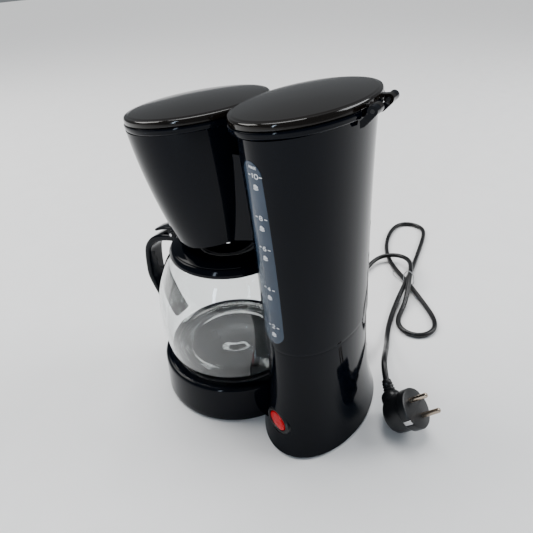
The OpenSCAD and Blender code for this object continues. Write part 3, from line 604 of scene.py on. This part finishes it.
GLYPH = {
    "M": [[(0, 0), (0, 2), (1, 0.9), (2, 2), (2, 0)]],
    "A": [[(0, 0), (1, 2), (2, 0)], [(0.4, 0.7), (1.6, 0.7)]],
    "X": [[(0, 0), (2, 2)], [(0, 2), (2, 0)]],
    "1": [[(0.5, 1.6), (1, 2), (1, 0)]],
    "0": [[(0.6, 0), (0.1, 0.5), (0.1, 1.5), (0.6, 2), (1.4, 2), (1.9, 1.5), (1.9, 0.5), (1.4, 0),
           (0.6, 0)]],
    "8": [[(0.6, 1.05), (0.2, 1.35), (0.3, 1.8), (1, 2), (1.7, 1.8), (1.8, 1.35), (1.4, 1.05), (0.6, 1.05),
           (0.1, 0.65), (0.2, 0.2), (1, 0), (1.8, 0.2), (1.9, 0.65), (1.4, 1.05)]],
    "6": [[(1.7, 1.8), (1, 2), (0.3, 1.5), (0.1, 0.6), (0.4, 0.1), (1, 0), (1.7, 0.1), (1.9, 0.6),
           (1.6, 1.05), (1, 1.15), (0.3, 0.9)]],
    "4": [[(1.4, 0), (1.4, 2), (0.1, 0.6), (1.9, 0.6)]],
    "2": [[(0.2, 1.6), (0.7, 2), (1.4, 2), (1.8, 1.6), (1.6, 1.1), (0.1, 0), (1.9, 0)]],
    "cup": [[(-1.5, -0.2), (0.2, -0.5), (1.8, 0.1)],
            [(0.9 * math.cos(k * 0.5236), 1.1 + 0.75 * math.sin(k * 0.5236)) for k in range(13)],
            [(-0.35, 1.1), (0.35, 1.1)], [(0.9, 1.35), (1.55, 1.2), (1.3, 0.75), (0.8, 0.75)]],
}
ink_v, ink_f = [], []


def stroke(path, width):
    """Raised flat ribbon along a path of (u, z)."""
    loop = []
    for i, (u, z) in enumerate(path):
        a, b = path[max(i - 1, 0)], path[min(i + 1, len(path) - 1)]
        if i == len(path) - 1 and path[0] == path[-1]:
            b = path[1]
        if i == 0 and path[0] == path[-1]:
            a = path[-2]
        d = Vector((b[0] - a[0], b[1] - a[1]))
        d.normalize()
        n = Vector((-d.y, d.x)) * width / 2
        loop.append([on_window(u + n.x, z + n.y, 0.02), on_window(u + n.x, z + n.y, 0.2),
                     on_window(u - n.x, z - n.y, 0.2), on_window(u - n.x, z - n.y, 0.02)])
    v, f = rings(loop)
    base = len(ink_v)
    ink_v.extend(v)
    ink_f.extend(tuple(i + base for i in q) for q in f)


def write(text, u, z, size, gap=2.6, width=0.75):
    wide = gap * (len(text) - 1) * size
    for i, ch in enumerate(text):
        left = u - wide / 2 + i * gap * size - size
        for path in GLYPH[ch]:
            fine = []
            for a, b in zip(path[:-1], path[1:]):
                fine += [(a[0] + (b[0] - a[0]) * t / 3, a[1] + (b[1] - a[1]) * t / 3) for t in range(3)]
            fine.append(path[-1])
            stroke([(left + x * size, z + (y - 1) * size) for x, y in fine], width)


def cup(u, z, size):
    for path in GLYPH["cup"]:
        stroke([(u + x * size, z + (y - 1) * size) for x, y in path], 0.8)


LEVELS = (("2", 85.6, 139.4), ("4", 83.6, 176.0), ("6", 82.7, 212.2), ("8", 82.3, 237.5),
          ("10", 81.0, 269.6))
for text, u, z in LEVELS:
    write(text, u, z, 1.65, 2.1, 0.62)
    half = 4.3 if len(text) > 1 else 3.4
    for s in (-1, 1):
        stroke([(u + s * half, z), (u + s * (half + 1.1), z), (u + s * (half + 2.2), z)], 0.7)
    cup(u - 0.3, z - 8.0, 1.5)
write("MAX", 80.0, 275.6, 0.95, 2.5, 0.5)
ink = solid("ink", ink_v, ink_f)
piece(ink, "level_marks", MARKS, "machine", ["gauge_marks"])

# ---- warming plate
v, f = spin([(0, 41.8), (61, 41.8), (61.6, 41.1), (62.6, 41.1), (63, 41.5), (62.9, 42.2), (62.3, 42.8),
             (61.2, 43.0), (58, 43.0), (57, 42.8), (50, 42.8), (49, 43.0), (20, 43.0), (19.2, 42.8),
             (0, 42.8)], 192)
plate = solid("plate", [(x, y + JUG_Y, z) for x, y, z in v], f)
piece(plate, "hot_plate", PLATE, "machine", ["warming_plate"])

# ---- glass jug
LINE = [(58, 43.3), (65, 46.5), (69.5, 52), (71.2, 62), (72.8, 78), (73.5, 92), (72.8, 110), (70.6, 122),
        (67, 134), (62, 146), (56, 154.5), (51.5, 159), (50, 162), (50, 164.5)]
outer = [(p.x, p.y) for p in crm([Vector((r, z, 0)) for r, z in LINE], 8)]
inner = []
for i, (r, z) in enumerate(outer):
    a, b = outer[max(i - 1, 0)], outer[min(i + 1, len(outer) - 1)]
    d = Vector((b[0] - a[0], b[1] - a[1])).normalized()
    q = (r - d.y * 2.0, z + d.x * 2.0)
    if q[1] > 46.6 and (not inner or q[1] >= inner[-1][1]) and q[1] < 164.3:
        inner.append(q)
under = [(0, 46.0), (10, 45.8), (15, 45.2), (18, 44.2), (20, 43.9), (30, 43.9), (43, 43.9), (45, 44.1),
         (46.6, 44.8), (48.2, 44.1), (50, 43.7), (54, 43.4), (56.5, 43.3)]
floor_in = [(58, 46.3), (52, 46.0), (48.6, 46.1), (46.6, 47.2), (44.6, 46.2), (40, 46.0), (24, 46.0),
            (20, 46.2), (17, 47.4), (13, 48.0), (0, 48.2)]
prof = under + outer + [(49.4, 165.0), (48.6, 165.0), (48.1, 164.4)] + inner[::-1] + floor_in
v, f = spin(prof, 224)
jug = solid("jug", [(x, y + JUG_Y, z) for x, y, z in v], f)
piece(jug, "glass_jug", GLASS, "carafe", ["carafe_glass"], 60)

# ---- collar
PIN_Y, PIN_Z = JUG_Y - 55 - 4.5, 163.5
loop = [(54.4, 156.6), (55.0, 156.9), (56.0, 157.9), (56.2, 158.6), (56.2, 160.2), (55.9, 161.1),
        (54.4, 163.9), (53.6, 164.8), (53.0, 165.1), (50.05, 165.1), (50.05, 162), (50.6, 160.6),
        (51.55, 159), (53.8, 156.75)]
v, f = spin(loop, 224, closed=True)
collar = solid("collar", [(x, y + JUG_Y, z) for x, y, z in v], f)
for s in (-1, 1):
    ear = round_edges(block((s * 10.5 - 2, PIN_Y - 3, PIN_Z - 3.2),
                            (s * 10.5 + 2, PIN_Y + 6, PIN_Z + 3.0)), 0.7)
    carve(collar, ear, "UNION")
carve(collar, drum(1.52, -15, 15, (0, 0), 32, T(0, PIN_Y, PIN_Z) @ Ry(90)))
piece(collar, "jug_collar", GLOSS, "carafe", ["carafe_collar"], 35)

# ---- handle: rounded strap
HY = -(COL_Y - LEAN * BASE_Z + FOOT_W / RATIO)
HANDLE = [(-79.9, 158.5), (-92, 157), (-104, 153.5), (-113.5, 147.5), (-120, 138.5), (HY + 4.4, 128),
          (HY + 3.5, 117), (-123, 104), (-118.6, 92), (-112.5, 80), (-105.5, 69), (-100.6, 61), (-98, 55.5)]
path = crm([Vector((0, y, z)) for y, z in HANDLE], 8)


def strap(path, wide, thick, corner, n=6):
    """Rounded rectangle swept along a path in the plane x = 0."""
    loop = []
    last = len(path) - 1
    for i, c in enumerate(path):
        t = (path[min(i + 1, last)] - path[max(i - 1, 0)]).normalized()
        nrm = Vector((0, -t.z, t.y))
        end = min(i, last - i)
        k = (0.80, 0.93, 0.985)[end] if end < 3 else 1.0
        ring = []
        for qx, qn in ((1, 1), (-1, 1), (-1, -1), (1, -1)):
            start = {(1, 1): 0, (-1, 1): 90, (-1, -1): 180, (1, -1): 270}[(qx, qn)]
            for j in range(n + 1):
                a = math.radians(start + 90 * j / n)
                x = qx * (wide / 2 - corner) + corner * math.cos(a)
                y = qn * (thick / 2 - corner) + corner * math.sin(a)
                ring.append(c + Vector((x * k, 0, 0)) + nrm * y * k)
        loop.append(ring)
    return rings(loop)


handle = solid("handle", *strap(path, 22, 7, 2.4))
carve(handle, drum(56.22, 100, 200, (0, JUG_Y), 224))
piece(handle, "jug_handle", GLOSS, "carafe", ["carafe_handle"], 35)

# ---- jug lid with thumb lever
loop = [(0, 161.5), (20, 161.5), (30, 163.9), (44, 163.9), (44.4, 163.0), (44.5, 160.2), (44.9, 160.0),
        (46.2, 160.0), (46.6, 160.4), (47, 165.4), (52.0, 165.4), (52.5, 165.6), (52.5, 166.1),
        (51.6, 166.5), (47.4, 167.8), (45, 168.3), (42, 168.55), (38, 168.6), (34, 168.1), (30, 167.2),
        (26, 165.3), (23.5, 164.1), (21, 163.75), (0, 163.7)]
v, f = spin(loop, 192)
cap = solid("cap", [(x, y + JUG_Y, z) for x, y, z in v], f)
LEVER = [(-68, 167), (-76, 167.6), (-84, 168), (-93, 166.2), (-102, 163.4), (-109, 160.6)]
lever = crm([Vector((0, y, z)) for y, z in LEVER], 8)
carve(cap, solid("lever", *strap(lever, 15, 2.4, 0.9, 4)), "UNION")
barrel = drum(2.6, -7.5, 7.5, (0, 0), 48, T(0, PIN_Y, PIN_Z) @ Ry(90))
carve(barrel, block((-7.5, PIN_Y - 1.5, PIN_Z), (7.5, PIN_Y + 1.5, PIN_Z + 4.2)), "UNION")
carve(cap, barrel, "UNION")
carve(cap, drum(3, 155, 175, (0, JUG_Y), 48))
carve(cap, drum(1.58, -15, 15, (0, 0), 32, T(0, PIN_Y, PIN_Z) @ Ry(90)))
piece(cap, "jug_lid", GLOSS, "carafe_lid_body", ["carafe_lid"], 32)

# ---- switch
ring = [(0, -1.6), (0, 1.3), (0.05, 1.8), (0.16, 2.2), (0.3, 2.38), (0.5, 2.3), (0.66, 1.9), (0.74, 1.45),
        (0.86, 1.25), (0.95, 1.0), (1, 0.5), (1, -1.6)]
n = 128
loop = []
for o_, z in ring:
    a, b = 12.5 + 3.5 * o_, 7.0 + 3.0 * o_
    loop.append([(b * math.cos(2 * math.pi * k / n), a * math.sin(2 * math.pi * k / n),
                  z) for k in range(n)])
v, f = rings(loop, closed=True)
bezel = solid("bezel", v, f, SWITCH)
piece(bezel, "switch_frame", MATTE, "machine", ["switch_bezel"], 40)


ROCKER_X, ROCKER_Y = 6.5, 12


def rocker_top(x, y):
    return 3.4 + 0.07 * y - 1.3 * (x / ROCKER_X) ** 2 - 0.9 * (y / ROCKER_Y) ** 2


def rocker_ring(t):
    return [(ROCKER_X * t * math.cos(2 * math.pi * k / n), ROCKER_Y * t * math.sin(2 * math.pi * k / n))
            for k in range(n)]


loop = []
for t, drop in ((0.02, 0), (0.15, 0), (0.3, 0), (0.45, 0), (0.6, 0), (0.75, 0), (0.87, 0.05), (0.95, 0.3),
                (0.985, 0.7), (1.0, 1.3)):
    loop.append([(x, y, rocker_top(x, y) - drop) for x, y in rocker_ring(t)])
for t, z in ((1.0, -4), (0.95, -7)):
    loop.append([(x, y, z) for x, y in rocker_ring(t)])
v, f = rings(loop)
rocker = solid("rocker", v, f, SWITCH)
piece(rocker, "red_rocker", RED, "rocker", ["rocker_switch"], 45)

# ---------------------------------------------------------------- carried-over CAD nodes
KEPT = {
    "bottom_cover": "black_matte", "rubber_feet": "rubber_black", "base_screws": "steel",
    "plate_seal": "rubber_black", "heater_tube": "aluminium", "heater_clamps": "steel",
    "thermostat": "steel",
    "thermal_fuse": "white_plastic", "terminal_block": "white_plastic", "switch_body": "black_matte",
    "valve_sleeve": "black_matte", "neck_block": "black_gloss", "tank_strainer": "white_plastic",
    "inlet_hose": "silicone", "check_valve": "white_plastic", "riser_pipe": "white_plastic",
    "outlet_hose": "silicone", "spray_spout": "black_matte", "spray_head": "black_matte",
    "filter_basket": "black_matte", "drip_stop_valve": "black_matte", "valve_spring": "steel",
    "lid_hinge_pins": "black_matte", "handle_screw": "steel", "carafe_lid_pin": "steel",
}
for name, finish in KEPT.items():
    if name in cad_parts:
        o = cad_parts[name]
        o.data.materials.clear()
        o.data.materials.append(FINISH[finish])
        for p in o.data.polygons:
            p.material_index = 0

# ---------------------------------------------------------------- floor and light
floor_mat = material("floor_white", (0.86, 0.86, 0.86), 0.7, bump=0.02, tone=0.01, shine=0.2)
CORNERS = ((-1, -1), (1, -1), (1, 1), (-1, 1))
v, f = rings([[(x * s, y * s, 0) for x, y in CORNERS] for s in (0.001, 6000)], caps=False)
floor = solid("floor", v, f)
floor.data.transform(Matrix.Scale(0.001, 4))
floor.data.materials.append(floor_mat)

world = bpy.data.worlds.new("studio")
bpy.context.scene.world = world
world.use_nodes = True
bg = world.node_tree.nodes["Background"]
bg.inputs["Color"].default_value = (0.90, 0.95, 1.0, 1)
bg.inputs["Strength"].default_value = 0.22


def light(name, at, aim, size, power, color):
    d = bpy.data.lights.new(name, "AREA")
    d.shape = "RECTANGLE"
    d.size, d.size_y = size
    d.energy = power
    d.color = color
    o = bpy.data.objects.new(name, d)
    bpy.context.scene.collection.objects.link(o)
    o.location = at
    o.rotation_euler = (Vector(aim) - Vector(at)).to_track_quat("-Z", "Y").to_euler()


light("key", (0.2, -1.5, 1.5), (0, 0, 0.1), (1.3, 0.9), 30, (1.0, 0.985, 0.96))
light("side", (1.7, 0.15, 0.75), (0, 0, 0.2), (0.14, 0.9), 8, (0.70, 0.84, 1.0))
light("back", (-1.1, 1.3, 1.3), (0, 0, 0.1), (1.2, 0.8), 26, (0.97, 0.985, 1.0))
sun_data = bpy.data.lights.new("sun", "SUN")
sun_data.energy = 2.7
sun_data.angle = math.radians(40)
sun = bpy.data.objects.new("sun", sun_data)
bpy.context.scene.collection.objects.link(sun)
sun.rotation_euler = (math.radians(14), math.radians(-16), 0)

bpy.context.view_layer.update()
